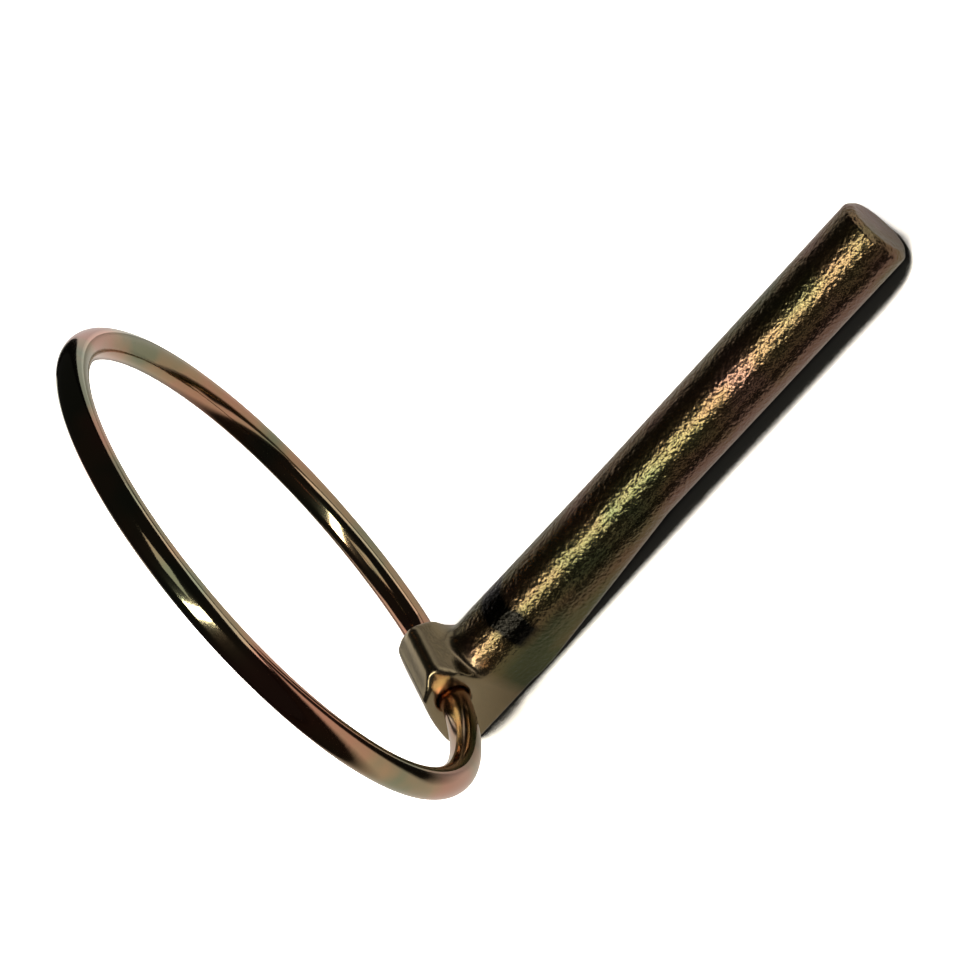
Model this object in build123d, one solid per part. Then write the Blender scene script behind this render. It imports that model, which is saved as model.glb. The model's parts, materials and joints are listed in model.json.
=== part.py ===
from build123d import *
from math import atan2, cos, degrees, pi, radians, sin, sqrt
import os

# Lynch pin lying on its flat underside: a forged steel pin and the spring-wire ring hinged in its head.
# Millimetres. +X runs along the shank to its tip, +Z is up, +Y is along the hinge axis.
# While it is built, x = 0 is the hinge axis, y = 0 is the pin's middle plane and z = 0 is the underside.
# The last step moves it in x and y, so that its bounding box is centred on the origin.

# ---- driving dimensions: shank ----
shank_diameter = 10.0
tip_x = 81.4                # hinge axis to the end of the shank
tip_chamfer = 0.8           # broken edge at the end, at 45 degrees

# ---- driving dimensions: head, a block forged between flat dies ----
head_width = 10.4           # across the two flat sides
hinge_above_axis = 3.7      # hinge axis above the shank's axis, on the side where the ring closes
heel_x = -4.6               # where the flat underside ends
back_x = -6.7               # rearmost corner
back_z = 3.2                # its height above the underside
back_bulge = 0.45           # how far the sloping back is domed
crown_x = -2.0              # top of the sloping back
crown_z = 12.4
brow_z = 14.75              # top of the head's front
shoulder_x = 4.2            # front of the head, where the round shank comes out
corner_round = 1.1          # rounding of the head's outline seen from the side
side_chamfer = 0.3          # broken edge along the head's two flat sides
shoulder_round = 1.2        # fillet where the shank leaves the head

# ---- driving dimensions: neck, as wide as the head and squared below, which runs out towards the tip ----
square_end_x = 11.0         # the lower corners stay square as far as here
runout_end_x = 35.5         # and have faded into the round shank here, where the locking length starts
neck_corner = 0.4           # radius of the square lower corners
runout_step = 0.12          # how far from fully round the run-out stops, so that its last flats have some width

# ---- driving dimensions: spring ring ----
wire_diameter = 4.0
ring_radius = 34.5          # wire centre line
ring_above_hinge = 0.35     # how far the round part of the ring stays above the hinge axis
ring_lean = 10.0            # degrees from upright, towards the tip, as it rests
ring_shift = 1.0            # how far the ring has slid along the hinge axis, towards +Y
shallow_ratio = 1.08        # radius of the slightly flatter stretch beside each leg, over ring_radius
shallow_angle = 68.0        # degrees from the bottom of the ring where that stretch starts
leg_gap = 2.0               # between the two wire ends inside the head
leg_lead = 0.4              # straight wire outside the head before it bends

# ---- fits ----
hinge_clearance = 0.08      # radial, wire in the cross hole
hole_rim = 0.55             # countersink of the cross hole

# ---- worked out ----
shank_radius = shank_diameter / 2
head_half = head_width / 2
axis_z = shank_radius
hinge_z = axis_z + hinge_above_axis
hole_radius = wire_diameter / 2 + hinge_clearance
tolerance = 0.01            # for telling edges apart by where they lie
overlap = 0.5               # how far the collar reaches into the metal that it joins


def atX(x):
    """A sketch plane square to the shank at x: its first axis is +Y and its second is +Z."""
    return Plane(origin=(x, 0, axis_z), x_dir=(0, 1, 0), z_dir=(1, 0, 0))


def neckSection(x, half, corner):
    """The neck across: a half circle above the axis, and flat sides, a flat bottom and rounded corners below."""
    r = shank_radius
    s = corner * sin(radians(45))
    outline = Curve() + [
        Line((-half, 0), (-half, corner - r)),
        ThreePointArc((-half, corner - r), (corner - half - s, corner - r - s), (corner - half, -r)),
        Line((corner - half, -r), (half - corner, -r)),
        ThreePointArc((half - corner, -r), (half - corner + s, corner - r - s), (half, corner - r)),
        Line((half, corner - r), (half, 0)),
        ThreePointArc((half, 0), (0, half), (-half, 0)),
    ]
    return atX(x) * make_face(outline)


def makeHead():
    """The head: its side outline extruded between the flat sides, with every outer edge broken."""
    slope = Vector(crown_x - back_x, crown_z - back_z).normalized()
    middle = Vector((crown_x + back_x) / 2, (crown_z + back_z) / 2)
    dome = middle + Vector(-slope.Y, slope.X) * back_bulge
    outline = Polyline(
        (crown_x, crown_z), (shoulder_x, brow_z), (shoulder_x, 0), (heel_x, 0), (back_x, back_z)
    )
    face = make_face(outline + ThreePointArc((back_x, back_z), dome, (crown_x, crown_z)))
    rounded = [v for v in face.vertices() if v.X < shoulder_x - tolerance or v.Y > axis_z]
    face = fillet(rounded, corner_round)
    block = extrude(Plane.XZ * face, amount=head_half, both=True)
    side_edges = [e for e in block.edges() if abs(abs(e.center().Y) - head_half) < tolerance]
    side_edges = [e for e in side_edges if e.center().X < shoulder_x - tolerance]
    return chamfer(side_edges, side_chamfer)


def makeCollar():
    """The concave fillet between the neck and the front of the head, no wider than the head."""
    f = shoulder_round
    r = head_half
    s = f * sin(radians(45))
    outline = Curve() + [
        Line((shoulder_x - overlap, r - overlap), (shoulder_x - overlap, r + f)),
        Line((shoulder_x - overlap, r + f), (shoulder_x, r + f)),
        ThreePointArc((shoulder_x, r + f), (shoulder_x + f - s, r + f - s), (shoulder_x + f, r)),
        Line((shoulder_x + f, r), (shoulder_x + f, r - overlap)),
        Line((shoulder_x + f, r - overlap), (shoulder_x - overlap, r - overlap)),
    ]
    section = Plane(origin=(0, 0, axis_z), x_dir=(1, 0, 0), z_dir=(0, -1, 0)) * make_face(outline)
    collar = revolve(section, axis=Axis((0, 0, axis_z), (1, 0, 0)))
    upper = Pos(shoulder_x, 0, axis_z) * Box(
        2 * shank_diameter, 2 * head_half, shank_diameter, align=(Align.CENTER, Align.CENTER, Align.MIN)
    )
    return collar & upper


def makePin():
    """Shank, squared neck and head in one forging, bored across for the ring."""
    shank = extrude(atX(runout_end_x) * Circle(shank_radius), amount=tip_x - runout_end_x)
    end_edge = shank.edges().sort_by(Axis.X)[-1]
    shank = chamfer(end_edge, tip_chamfer)
    neck = extrude(neckSection(0, head_half, neck_corner), amount=square_end_x)
    runout = loft([
        neckSection(square_end_x, head_half, neck_corner),
        neckSection(runout_end_x, shank_radius, shank_radius - runout_step),
    ])
    pin = shank + neck + runout + makeHead() + makeCollar()
    hinge_plane = Plane(origin=(0, 0, hinge_z), x_dir=(1, 0, 0), z_dir=(0, 1, 0))
    hole = extrude(hinge_plane * Circle(hole_radius), amount=head_half, both=True)
    rims = Part()
    for side in (1, -1):
        mouth = Plane(origin=(0, side * head_half, hinge_z), x_dir=(1, 0, 0), z_dir=(0, -side, 0))
        rims += mouth * Cone(
            hole_radius + hole_rim, hole_radius, hole_rim, align=(Align.CENTER, Align.CENTER, Align.MIN)
        )
    return pin - hole - rims


def ringPath():
    """Centre line of the ring in its own plane: first axis +Y, second axis away from the hinge.

    Each side is a straight leg on the hinge axis, a bend, a slightly flatter arc, and then the circle.
    Every arc is tangent to its neighbours: two tangent arcs have their centres and the point
    where they meet on one line.
    """
    c = ring_radius + ring_above_hinge
    shallow = ring_radius * shallow_ratio
    excess = shallow - ring_radius
    a = radians(shallow_angle)
    arc_y = -excess * sin(a)
    arc_up = c + excess * cos(a)
    bend_y = head_half + leg_lead
    # the bend touches the hinge axis at bend_y and the flatter arc from inside
    bend = ((bend_y - arc_y) ** 2 + arc_up ** 2 - shallow ** 2) / (2 * (arc_up - shallow))
    meet_angle = atan2(bend_y - arc_y, arc_up - bend)

    def onBend(t, side):
        return (side * (bend_y + bend * sin(t)), bend - bend * cos(t))

    def onShallow(t, side):
        return (side * (arc_y + shallow * sin(t)), arc_up - shallow * cos(t))

    path = Curve()
    for side in (1, -1):
        path += Line((side * leg_gap / 2, 0), (side * bend_y, 0))
        path += ThreePointArc(onBend(0, side), onBend(meet_angle / 2, side), onBend(meet_angle, side))
        path += ThreePointArc(
            onShallow(meet_angle, side), onShallow((meet_angle + a) / 2, side), onShallow(a, side)
        )
    path += ThreePointArc(onShallow(a, 1), (0, c + ring_radius), onShallow(a, -1))
    print("bend radius", round(bend, 3), "bend angle", round(degrees(meet_angle), 2))
    return path


def makeRing():
    """Round spring wire swept along the ring's centre line and leaned over about the hinge axis."""
    path = ringPath()
    start = Plane(origin=(leg_gap / 2, 0, 0), x_dir=(0, 0, 1), z_dir=(1, 0, 0))
    wire = sweep(start * Circle(wire_diameter / 2), path=path)
    lean = radians(ring_lean)
    ring_plane = Plane(
        origin=(0, ring_shift, hinge_z), x_dir=(0, 1, 0), z_dir=(cos(lean), 0, -sin(lean))
    )
    return ring_plane * wire


nodes = {"forged_pin": makePin(), "spring_ring": makeRing()}
pin_box = nodes["forged_pin"].bounding_box()
centre_x = (pin_box.min.X + pin_box.max.X) / 2
print("hinge axis at x", round(-centre_x, 4), "z", hinge_z, "pin's middle plane at y", -ring_shift)
os.makedirs("parts", exist_ok=True)
for name, shape in nodes.items():
    placed = Pos(-centre_x, -ring_shift, 0) * shape
    export_step(placed, f"parts/{name}.step")
    print(name, len(placed.solids()), "solid", round(placed.volume, 1), "mm3")

# where the ring's far side meets the shank when it is closed, for the hinge's limits
reach = 2 * ring_radius + ring_above_hinge
closed_gap = 0.3
lift = shank_diameter + wire_diameter / 2 + closed_gap - hinge_z
print("closed ring stands", round(degrees(atan2(lift, sqrt(reach ** 2 - lift ** 2))), 3), "degrees above the shank")
print("wire length", round(nodes["spring_ring"].volume / (pi * wire_diameter ** 2 / 4), 2))
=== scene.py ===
import json
import math
import bmesh
import bpy
import numpy as np
from mathutils import Matrix, Vector


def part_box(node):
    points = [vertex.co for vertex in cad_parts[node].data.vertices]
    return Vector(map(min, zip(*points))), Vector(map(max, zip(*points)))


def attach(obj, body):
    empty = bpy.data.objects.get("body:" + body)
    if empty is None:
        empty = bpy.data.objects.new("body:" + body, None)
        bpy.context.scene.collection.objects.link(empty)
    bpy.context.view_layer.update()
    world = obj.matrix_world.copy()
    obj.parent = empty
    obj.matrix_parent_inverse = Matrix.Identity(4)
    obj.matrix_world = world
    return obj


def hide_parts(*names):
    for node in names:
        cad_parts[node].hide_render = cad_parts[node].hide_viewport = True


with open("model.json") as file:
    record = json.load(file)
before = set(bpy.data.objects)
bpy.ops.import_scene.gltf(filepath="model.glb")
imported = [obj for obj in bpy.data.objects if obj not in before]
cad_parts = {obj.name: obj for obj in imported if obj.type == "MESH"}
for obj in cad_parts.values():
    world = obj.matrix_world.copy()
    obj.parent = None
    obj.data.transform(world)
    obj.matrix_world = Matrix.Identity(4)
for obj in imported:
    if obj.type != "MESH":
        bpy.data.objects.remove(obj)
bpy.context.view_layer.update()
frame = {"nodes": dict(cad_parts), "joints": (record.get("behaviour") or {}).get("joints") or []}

# lengths are in mm unless a note says otherwise, and times mm they are Blender's metres
mm = 0.001
hingeX, _, hingeZ = np.array(frame["joints"][0]["pos_m"]) / mm
pinLow, pinHigh = [np.array(corner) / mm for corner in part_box("forged_pin")]
pinY, pinHalf = (pinLow[1] + pinHigh[1]) / 2, (pinHigh[1] - pinLow[1]) / 2
print("loaded: hinge at x", round(hingeX, 3), "z", round(hingeZ, 3), "and pin's middle at y", round(pinY, 3))


# sRGB hex to linear RGBA
def toLinear(hexColour):
    srgb = np.array([int(hexColour[i:i + 2], 16) for i in (1, 3, 5)]) / 255
    linear = np.where(srgb <= 0.04045, srgb / 12.92, ((srgb + 0.055) / 1.055) ** 2.4)
    return (*linear.tolist(), 1.0)


# 0 below low, 1 above high, and 3t^2 - 2t^3 between
def smoothStep(low, high, x):
    t = np.clip((x - low) / (high - low), 0, 1)
    return t * t * (3 - 2 * t)


# Adds a node. A key is an attribute's name, an input's name with _ for a space, or i3 for input 3.
def addNode(tree, kind, settings=None, **links):
    node = tree.nodes.new(kind)

    def socket(key):
        byNumber = key[0] == "i" and key[1:].isdigit()
        return node.inputs[int(key[1:])] if byNumber else node.inputs[key.replace("_", " ")]

    for key, value in (settings or {}).items():
        if hasattr(node, key):
            setattr(node, key, value)
        else:
            socket(key).default_value = value
    for key, source in links.items():
        tree.links.new(source, socket(key))
    return node


def newMaterial(name):
    material = bpy.data.materials.new(name)
    material.use_nodes = True
    material.node_tree.nodes.clear()
    return material


def addObject(name, data):
    obj = bpy.data.objects.new(name, data)
    bpy.context.scene.collection.objects.link(obj)
    return obj


# shades the mesh smooth and turns its faces outwards, by the sign of its volume
def smoothOutwards(obj):
    obj.data.polygons.foreach_set("use_smooth", np.ones(len(obj.data.polygons), bool))
    work = bmesh.new()
    work.from_mesh(obj.data)
    bmesh.ops.recalc_face_normals(work, faces=work.faces)
    if work.calc_volume(signed=True) < 0:
        bmesh.ops.reverse_faces(work, faces=work.faces)
    print(obj.name, "made:", round(work.calc_volume() / mm ** 3, 1), "mm3,", len(work.faces), "faces")
    work.to_mesh(obj.data)
    work.free()


ringSizes = {
    "wireRadius": 2.0,
    "circleRadius": 34.5,       # centre line of the round part
    "aboveHinge": 0.35,         # how far the round part's centre line stays above the hinge
    "lean": 10.0,               # degrees from upright, towards the tip
    "shift": 1.0,               # slid along the hinge from the pin's middle plane
    "shallowRatio": 1.08,       # radius of the flatter stretch beside each leg, over the circle's
    "shallowAngle": 68.0,       # degrees from the bottom where that stretch starts
    "legGap": 2.0,              # between the two wire ends inside the head
    "bendFrom": 5.6,            # from the ring's middle to where each leg starts to bend
    "stations": 900,
    "around": 48,
    "endRound": 0.35,           # broken edge of each cut end
    "inside": 0.004,            # keeps the facets inside the CAD's wire
}


# The wire's centre line in the ring's plane (y, up), evenly spaced, and the length along it.
# A leg runs straight out to b. The flatter arc has radius S = R * ratio and its centre at
# (-(S - R) sin a, R + above + (S - R) cos a). The bend touches the hinge axis at b and the flatter
# arc from inside, so its radius is ((b - y0)^2 + u0^2 - S^2) / (2 (u0 - S)). The sides mirror each other.
def ringCentreLine(sizes):
    radius = sizes["circleRadius"]
    circleUp = radius + sizes["aboveHinge"]
    shallow = radius * sizes["shallowRatio"]
    a = math.radians(sizes["shallowAngle"])
    y0 = -(shallow - radius) * math.sin(a)
    u0 = circleUp + (shallow - radius) * math.cos(a)
    b = sizes["bendFrom"]
    bend = ((b - y0) ** 2 + u0 ** 2 - shallow ** 2) / (2 * (u0 - shallow))
    meet = math.atan2(b - y0, u0 - bend)
    leg = np.linspace(sizes["legGap"] / 2, b, 60)[:-1]
    onBend = np.linspace(0, meet, 60)[:-1]
    onShallow = np.linspace(meet, a, 400)[:-1]
    onCircle = np.linspace(a, math.pi, 900)
    half = np.concatenate([
        np.stack([leg, 0 * leg], 1),
        np.stack([b + bend * np.sin(onBend), bend - bend * np.cos(onBend)], 1),
        np.stack([y0 + shallow * np.sin(onShallow), u0 - shallow * np.cos(onShallow)], 1),
        np.stack([radius * np.sin(onCircle), circleUp - radius * np.cos(onCircle)], 1),
    ])
    path = np.concatenate([half, half[:-1][::-1] * (-1, 1)])
    length = np.concatenate([[0], np.cumsum(np.linalg.norm(np.diff(path, axis=0), axis=1))])
    even = np.linspace(0, length[-1], sizes["stations"])
    return np.stack([np.interp(even, length, path[:, k]) for k in (0, 1)], 1), even


# A point of the wire is its centre line's point + r (cos t * outwards + sin t * the ring's face), where
# t goes once around. Over the last e of each end r shrinks by e (1 - sqrt(1 - d^2)), and d goes from 0 to 1.
def makeRing(sizes):
    path, along = ringCentreLine(sizes)
    lean = math.radians(sizes["lean"])
    yAxis = np.array([0, 1.0, 0])
    upAxis = np.array([math.sin(lean), 0, math.cos(lean)])
    face = np.array([math.cos(lean), 0, -math.sin(lean)])
    onHinge = np.array([hingeX, pinY + sizes["shift"], hingeZ])
    tangent = np.gradient(path, axis=0)
    tangent /= np.linalg.norm(tangent, axis=1)[:, None]
    centre = onHinge + path[:, :1] * yAxis + path[:, 1:] * upAxis
    outwards = tangent[:, 1:] * yAxis - tangent[:, :1] * upAxis
    turn = np.linspace(0, 2 * math.pi, sizes["around"], endpoint=False)[None, :, None]
    e = sizes["endRound"]
    depth = np.clip(1 - np.minimum(along, along[-1] - along) / e, 0, 1)
    almostOne = 0.999           # leaves the cut end a face
    radius = sizes["wireRadius"] - sizes["inside"] - e * (1 - np.sqrt(1 - depth ** 2 * almostOne))
    points = centre[:, None] + radius[:, None, None] * (
        np.cos(turn) * outwards[:, None] + np.sin(turn) * face)
    index = np.arange(sizes["stations"] * sizes["around"]).reshape(sizes["stations"], sizes["around"])
    near, far = index[:-1], index[1:]
    quads = np.stack([near, np.roll(near, -1, 1), np.roll(far, -1, 1), far], -1).reshape(-1, 4).tolist()
    ends = [index[0][::-1].tolist(), index[-1].tolist()]
    mesh = bpy.data.meshes.new("springRing")
    mesh.from_pydata((points.reshape(-1, 3) * mm).tolist(), [], quads + ends)
    mesh.update()
    obj = addObject("springRing", mesh)
    smoothOutwards(obj)
    return obj


pinSizes = {
    "weld": 0.002,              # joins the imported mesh's loose triangles
    "voxel": 0.21,              # keeps the piece under 200,000 triangles
    "browBack": 1.3,            # how far the brow is drawn back, so that the head's front slopes
    "browIn": 0.9,              # how far the brow's two ends are drawn in
    "wear": 3,                  # smoothing passes all over
    "headWear": 46,             # more passes on the head
    "headEnds": (6.5, 8.5),     # from the hinge, where those passes fade out
}


def bakeModifiers(obj):
    bpy.context.view_layer.update()
    obj.data = bpy.data.meshes.new_from_object(obj.evaluated_get(bpy.context.evaluated_depsgraph_get()))
    obj.modifiers.clear()
    obj.data.name = obj.name


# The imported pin's own mesh, remeshed fine so that its edges can be worn round. With x from the hinge and
# f the smooth step, x shrinks by browBack * f(10.4..14, z) * f(-3..3, x), and y from the middle plane
# shrinks by the share browIn * f(10.8..14.4, z) * f(-0.5..3, x) over the half width.
def makePin(sizes):
    mesh = frame["nodes"]["forged_pin"].data.copy()
    obj = addObject("forgedPin", mesh)
    obj.data.materials.clear()
    work = bmesh.new()
    work.from_mesh(mesh)
    bmesh.ops.remove_doubles(work, verts=work.verts, dist=sizes["weld"] * mm)
    work.to_mesh(mesh)
    work.free()
    remesh = obj.modifiers.new("voxels", "REMESH")
    remesh.mode = "VOXEL"
    remesh.voxel_size = sizes["voxel"] * mm
    bakeModifiers(obj)
    places = np.empty(len(obj.data.vertices) * 3)
    obj.data.vertices.foreach_get("co", places)
    places = places.reshape(-1, 3) / mm
    x, z = places[:, 0] - hingeX, places[:, 2]
    browIn = sizes["browIn"] * smoothStep(10.8, 14.4, z) * smoothStep(-0.5, 3.0, x)
    places[:, 0] -= sizes["browBack"] * smoothStep(10.4, 14.0, z) * smoothStep(-3.0, 3.0, x)
    places[:, 1] = pinY + (places[:, 1] - pinY) * (1 - browIn / pinHalf)
    obj.data.vertices.foreach_set("co", (places * mm).ravel())
    # the head's extra wear fades out in five steps
    head = 1 - smoothStep(*sizes["headEnds"], x)
    group = obj.vertex_groups.new(name="head")
    for step in range(1, 6):
        members = np.nonzero((head > (step - 1) / 5) & (head <= step / 5))[0]
        group.add(members.tolist(), step / 5, "REPLACE")
    for name, groupName in (("wear", ""), ("headWear", "head")):
        soften = obj.modifiers.new(name, "SMOOTH")
        soften.factor, soften.iterations, soften.vertex_group = 0.5, sizes[name], groupName
    bakeModifiers(obj)
    smoothOutwards(obj)
    return obj


# Forged steel, zinc plated and dipped in yellow chromate: a satin metal over the forging's orange peel,
# whose film drifts from olive to brown. hues gives each colour the level of the noise where it lies.
pinPlating = {
    "name": "satin yellow chromate zinc",
    "hues": {0.36: "#52573d", 0.46: "#655c40", 0.54: "#6f5b43", 0.62: "#755b4e"},
    "patch": 11.0,              # across a patch of one hue
    "alongShare": 0.5,          # 0.5 makes the patches twice as long along the shank
    "roughness": 0.25,
    "peel": 0.6,                # across a dimple of the orange peel
    "peelDepth": 0.16,
    "peelStrength": 1.0,
    "headColour": "#85795f",    # the head's colour, paler than the shank's
    "paintedReflectionColour": "#1b1a17",    # a painted reflection of the ring: a short dark band across the shank beside the head
    "paintedReflectionSpan": (9.7, 14.0),        # from the hinge along the shank
    "paintedReflectionEdge": 0.9,            # its edges fade over this
    "paintedReflectionWander": 6.0,          # and wander by this with the hue's noise
    "paintedReflectionUp": (5.2, 6.6),       # it fades in between these heights
}

# Spring wire with the same plating: drawn wire is smooth, so the film is bright, with a faint drawn grain.
ringPlating = {
    "name": "bright yellow chromate zinc",
    "hues": {0.36: "#878a70", 0.48: "#ac9273", 0.6: "#bd8b74"},
    "patch": 16.0,
    "alongShare": 1.0,
    "roughness": 0.1,
    "peel": 0.9,
    "peelDepth": 0.03,
    "peelStrength": 0.25,
}

# from the hinge: the peel grows over the first span, and the head's colour fades out over the second
peelGrows, headFades = (4.5, 8.0), (4.0, 6.0)
peelOnHead = 0.12


# colours laid over the pin's plating: the paler head, and a painted reflection of the ring, a dark band
# across the shank
def headAndPaintedReflection(tree, plating, place, hue, colour):
    along, upright = place.outputs["X"], place.outputs["Z"]
    low, high = [(hingeX + end) * mm for end in headFades]
    onHead = addNode(tree, "ShaderNodeMapRange", {
        "From Min": low, "From Max": high, "To Min": 1.0, "To Max": 0.0}, Value=along)
    paler = addNode(tree, "ShaderNodeMix", {"data_type": "RGBA", "i7": toLinear(plating["headColour"])},
                    i0=onHead.outputs[0], i6=colour)
    # the painted reflection of the ring: dark across the shank's upper side, between two distances from the
    # hinge
    edge, wander = plating["paintedReflectionEdge"] * mm, plating["paintedReflectionWander"]
    low, high = [(hingeX + end + wander / 2) * mm for end in plating["paintedReflectionSpan"]]
    wandering = addNode(tree, "ShaderNodeMath", {"operation": "MULTIPLY_ADD", "i1": wander * mm},
                        i0=hue.outputs["Fac"], i2=along)
    starts = addNode(tree, "ShaderNodeMapRange", {"From Min": low, "From Max": low + edge},
                     Value=wandering.outputs[0])
    stops = addNode(tree, "ShaderNodeMapRange", {
        "From Min": high, "From Max": high + edge, "To Min": 1.0, "To Max": 0.0}, Value=wandering.outputs[0])
    low, high = [height * mm for height in plating["paintedReflectionUp"]]
    raised = addNode(tree, "ShaderNodeMapRange", {"From Min": low, "From Max": high}, Value=upright)
    between = addNode(tree, "ShaderNodeMath", {"operation": "MULTIPLY"},
                      i0=starts.outputs[0], i1=stops.outputs[0])
    inPaintedReflection = addNode(tree, "ShaderNodeMath", {"operation": "MULTIPLY"},
                     i0=between.outputs[0], i1=raised.outputs[0])
    withPaintedReflection = addNode(tree, "ShaderNodeMix", {"data_type": "RGBA", "i7": toLinear(plating["paintedReflectionColour"])},
                     i0=inPaintedReflection.outputs[0], i6=paler.outputs[2])
    return withPaintedReflection.outputs[2]


# Yellow-chromate zinc: the film's thickness drifts in patches and sets the hue. Noise on metres takes a
# scale of 1000 / size, which makes its features about that many mm across.
def chromateZinc(plating, addColours=None):
    material = newMaterial(plating["name"])
    tree = material.node_tree
    coords = addNode(tree, "ShaderNodeTexCoord").outputs["Object"]
    stretch = addNode(tree, "ShaderNodeMapping", {"Scale": (plating["alongShare"], 1, 1)}, Vector=coords)
    hue = addNode(tree, "ShaderNodeTexNoise", {
        "Scale": 1000 / plating["patch"], "Detail": 3.0, "Roughness": 0.55}, Vector=stretch.outputs[0])
    film = addNode(tree, "ShaderNodeValToRGB", i0=hue.outputs["Fac"])
    stops = film.color_ramp.elements
    stops.remove(stops[-1])
    for k, (level, hexColour) in enumerate(plating["hues"].items()):
        stop = stops[0] if k == 0 else stops.new(level)
        stop.position, stop.color = level, toLinear(hexColour)
    place = addNode(tree, "ShaderNodeSeparateXYZ", Vector=coords)
    colour = film.outputs[0]
    if addColours:
        colour = addColours(tree, plating, place, hue, colour)
    dimples = addNode(tree, "ShaderNodeTexNoise", {
        "Scale": 1000 / plating["peel"], "Detail": 2.0, "Roughness": 0.5}, Vector=coords)
    low, high = [(hingeX + end) * mm for end in peelGrows]
    share = addNode(tree, "ShaderNodeMapRange", {
        "From Min": low, "From Max": high, "To Min": peelOnHead, "To Max": 1.0}, Value=place.outputs["X"])
    height = addNode(tree, "ShaderNodeMath", {"operation": "MULTIPLY"},
                     i0=dimples.outputs["Fac"], i1=share.outputs[0])
    bump = addNode(tree, "ShaderNodeBump", {
        "Strength": plating["peelStrength"], "Distance": plating["peelDepth"] * mm}, Height=height.outputs[0])
    shader = addNode(tree, "ShaderNodeBsdfPrincipled", {"Metallic": 1.0, "Roughness": plating["roughness"]},
                     Normal=bump.outputs[0], Base_Color=colour)
    addNode(tree, "ShaderNodeOutputMaterial", Surface=shader.outputs[0])
    return material


pinFinish = chromateZinc(pinPlating, headAndPaintedReflection)
ringFinish = chromateZinc(ringPlating)
print("platings mixed")

ring = makeRing(ringSizes)
ring.data.materials.append(ringFinish)
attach(ring, "ring")
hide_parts("spring_ring")
pin = makePin(pinSizes)
pin.data.materials.append(pinFinish)
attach(pin, "pin")
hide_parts("forged_pin")

# The floor is a sheet of white paper. In reflections it ends about 110 mm out, and a painted shadow, a dark
# strip beside the pin, keeps the metal's lower flanks dark. Close to the part a painted shade darkens it,
# from how much of the sky is open there.
paperSizes = {
    "half": 600,
    "ends": (90, 130),          # from the origin, where its reflection fades out
    "stripNear": (-11.5, -10),  # the strip's near edge, in y
    "stripFar": (-42, -34),     # its far edge, in y
    "stripStart": (-30, -20),   # its end beside the head, in x
    "shadeReach": 8,            # how far the shade looks for metal
    "shadeOpen": (0.525, 0.6),  # share of the sky that is open, where the shade fades out
    "shadeColour": (0.02, 2.8), # grey in the deepest shade and in the open; over 1, soft shadows burn out
    "colour": "#e7e3e3",        # as the metal sees it
    "darkColour": "#211e1d",
}

half = paperSizes["half"] * mm
corners = [(-half, -half, 0), (half, -half, 0), (half, half, 0), (-half, half, 0)]
floorMesh = bpy.data.meshes.new("floor")
floorMesh.from_pydata(corners, [], [(0, 1, 2, 3)])
floor = addObject("floor", floorMesh)
paper = newMaterial("white paper")
paperTree = paper.node_tree
coords = addNode(paperTree, "ShaderNodeTexCoord").outputs["Object"]
place = addNode(paperTree, "ShaderNodeSeparateXYZ", Vector=coords)
outwards = addNode(paperTree, "ShaderNodeVectorMath", {"operation": "LENGTH"}, Vector=coords)
# each edge: what it is measured on, its key above, and its value before and after
edges = (
    (outwards.outputs["Value"], "ends", 0.0, 1.0),
    (place.outputs["Y"], "stripNear", 1.0, 0.0),
    (place.outputs["Y"], "stripFar", 0.0, 1.0),
    (place.outputs["X"], "stripStart", 0.0, 1.0),
)
beyond, near, far, start = [
    addNode(paperTree, "ShaderNodeMapRange", {
        "From Min": paperSizes[key][0] * mm, "From Max": paperSizes[key][1] * mm,
        "To Min": before, "To Max": after}, Value=measure).outputs[0]
    for measure, key, before, after in edges]
# the strip is a painted shadow, which only the metal's reflections show
across = addNode(paperTree, "ShaderNodeMath", {"operation": "MULTIPLY"}, i0=near, i1=far)
strip = addNode(paperTree, "ShaderNodeMath", {"operation": "MULTIPLY"}, i0=across.outputs[0], i1=start)
dark = addNode(paperTree, "ShaderNodeMath", {"operation": "MAXIMUM"}, i0=strip.outputs[0], i1=beyond)
floorRays = addNode(paperTree, "ShaderNodeLightPath")
darkInMetal = addNode(paperTree, "ShaderNodeMath", {"operation": "MULTIPLY"},
                      i0=dark.outputs[0], i1=floorRays.outputs["Is Glossy Ray"])
# painted shade: for the camera the paper darkens where the metal closes off its sky, over and above the
# lamps' own shadows
openSky = addNode(paperTree, "ShaderNodeAmbientOcclusion", {
    "samples": 24, "Distance": paperSizes["shadeReach"] * mm})
(shadeFrom, shadeTo), (shadeLow, shadeHigh) = paperSizes["shadeOpen"], paperSizes["shadeColour"]
shade = addNode(paperTree, "ShaderNodeMapRange", {
    "From Min": shadeFrom, "From Max": shadeTo, "To Min": shadeLow, "To Max": shadeHigh},
    Value=openSky.outputs["AO"]).outputs[0]
grey = addNode(paperTree, "ShaderNodeCombineColor", Red=shade, Green=shade, Blue=shade)
colour = addNode(paperTree, "ShaderNodeMix", {"data_type": "RGBA", "i6": toLinear(paperSizes["colour"])},
                 i0=floorRays.outputs["Is Camera Ray"], i7=grey.outputs[0])
whitePaper = addNode(paperTree, "ShaderNodeBsdfDiffuse", Color=colour.outputs[2])
darkPaper = addNode(paperTree, "ShaderNodeBsdfDiffuse", {"Color": toLinear(paperSizes["darkColour"])})
both = addNode(paperTree, "ShaderNodeMixShader",
               i0=darkInMetal.outputs[0], i1=whitePaper.outputs[0], i2=darkPaper.outputs[0])
addNode(paperTree, "ShaderNodeOutputMaterial", Surface=both.outputs[0])
floorMesh.materials.append(paper)
print("floor laid")

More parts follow.
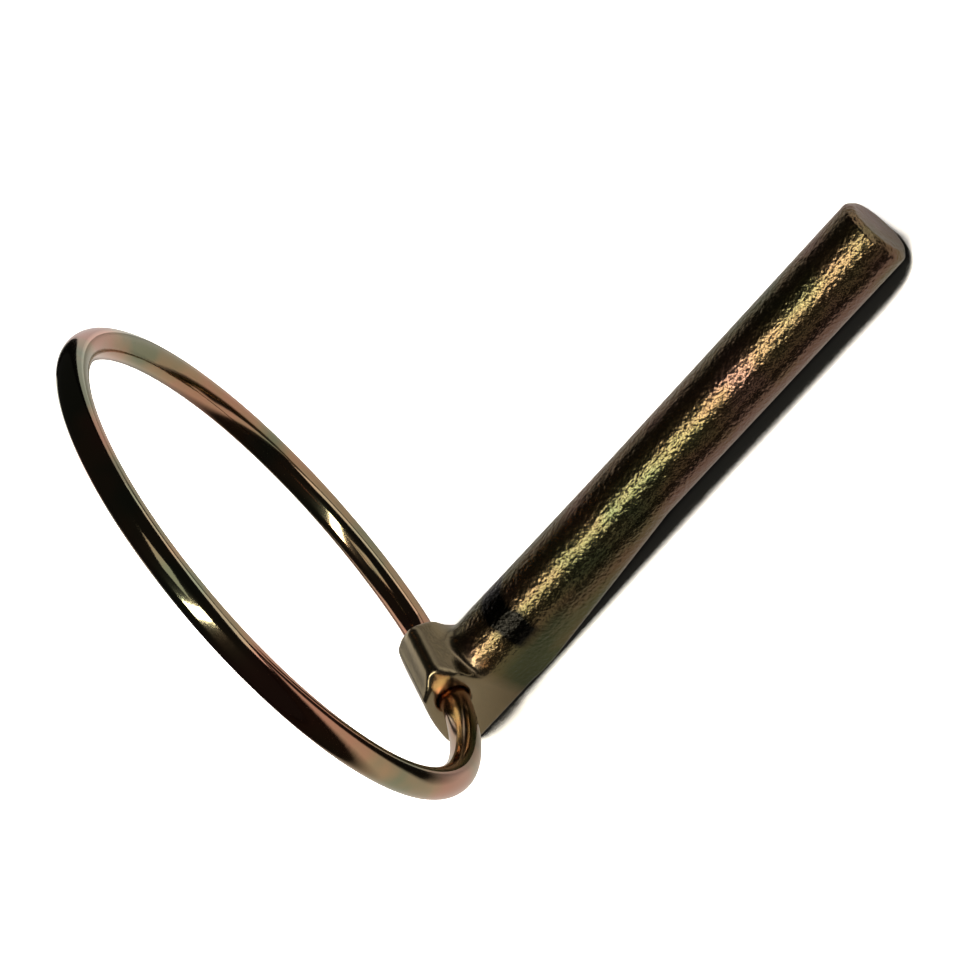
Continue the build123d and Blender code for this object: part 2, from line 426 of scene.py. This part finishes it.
# a dark room, which the camera sees as white
world = bpy.data.worlds.new("room")
bpy.context.scene.world = world
world.use_nodes = True
roomTree = world.node_tree
roomTree.nodes.clear()
roomRays = addNode(roomTree, "ShaderNodeLightPath")
room = addNode(roomTree, "ShaderNodeBackground", {"Color": toLinear("#1f1e1e"), "Strength": 1.0})
backdrop = addNode(roomTree, "ShaderNodeBackground", {"Color": toLinear("#ffffff"), "Strength": 1.0})
seen = addNode(roomTree, "ShaderNodeMixShader",
               i0=roomRays.outputs["Is Camera Ray"], i1=room.outputs[0], i2=backdrop.outputs[0])
addNode(roomTree, "ShaderNodeOutputWorld", Surface=seen.outputs[0])
print("room set")

# The overhead sun is a wide soft one, which the metal doesn't show. Its level is what it gives white paper.
overhead = {"level": 0.15, "angle": 44, "at": (-0.12, 0.05, 1.0)}

# Panels, in metres: azimuth 0 is -Y and 90 is +X, in degrees. Each faces its target, or the way it is given.
middle = (0, 0, 0.01)
panels = {
    "window": {"azimuth": -16, "elevation": 51, "distance": 0.6, "size": (0.74, 0.07), "radiance": 20.5,
               "colour": (1.0, 0.95, 0.82), "target": middle},
    "ceiling": {"azimuth": 30, "elevation": 66, "distance": 0.6, "size": (0.3, 0.2), "radiance": 0.9,
                "colour": (1.0, 0.95, 0.85), "target": middle},
    "farCard": {"azimuth": 180, "elevation": 12, "distance": 0.09, "size": (0.26, 0.036), "radiance": 0.7,
                "colour": (1.0, 0.96, 0.95), "target": middle, "faces": (0, -1, 0)},
    "tipCard": {"azimuth": 92, "elevation": 10, "distance": 0.12, "size": (0.16, 0.036), "radiance": 1.4,
                "colour": (1.0, 0.96, 0.95), "target": middle, "faces": (-1, 0, 0)},
    "backCard": {"azimuth": -134, "elevation": 15, "distance": 0.1, "size": (0.08, 0.045), "radiance": 0.9,
                 "colour": (1.0, 0.95, 0.88), "target": (-0.035, 0, 0.01)},
}


# puts a lamp at a point, shining along a direction
def aimLamp(obj, at, shines):
    obj.location = at
    obj.rotation_mode = "QUATERNION"
    obj.rotation_quaternion = Vector(shines).to_track_quat("-Z", "Y")


# a one-sided panel of area A gives power = radiance * pi * A
def addPanel(name, values):
    data = bpy.data.lights.new(name, "AREA")
    data.shape = "RECTANGLE"
    data.size, data.size_y = values["size"]
    data.energy = values["radiance"] * math.pi * data.size * data.size_y
    data.color = values["colour"]
    a, e = math.radians(values["azimuth"]), math.radians(values["elevation"])
    towards = Vector((math.sin(a) * math.cos(e), -math.cos(a) * math.cos(e), math.sin(e)))
    at = Vector(values["target"]) + towards * values["distance"]
    aimLamp(addObject(name, data), at, values.get("faces", Vector(values["target"]) - at))


sunData = bpy.data.lights.new("overhead", "SUN")
sunData.energy = math.pi * overhead["level"]
sunData.angle = math.radians(overhead["angle"])
sun = addObject("overhead", sunData)
aimLamp(sun, overhead["at"], -Vector(overhead["at"]))
sun.visible_glossy = False
for name, values in panels.items():
    addPanel(name, values)
print("lit with", 1 + len(panels), "lamps")

# in metres, from the hinge in x and the pin's middle plane in y
view = {
    "lens": 138.4,
    "sensor": 36,
    "at": (0.18433, -0.30209, 0.32677),
    "right": (0.62914, -0.35906, -0.68939),
    "up": (0.69663, 0.65389, 0.29518),
}

cameraData = bpy.data.cameras.new("camera")
cameraData.lens = view["lens"]
cameraData.sensor_width = view["sensor"]
cameraData.clip_start = 0.01
camera = addObject("camera", cameraData)
right, up = Vector(view["right"]).normalized(), Vector(view["up"]).normalized()
axes = Matrix((right, up, right.cross(up))).transposed().to_4x4()
camera.matrix_world = Matrix.Translation(Vector(view["at"]) + Vector((hingeX * mm, pinY * mm, 0))) @ axes
bpy.context.scene.camera = camera
bpy.context.scene.view_settings.view_transform = "Standard"
print("framed")
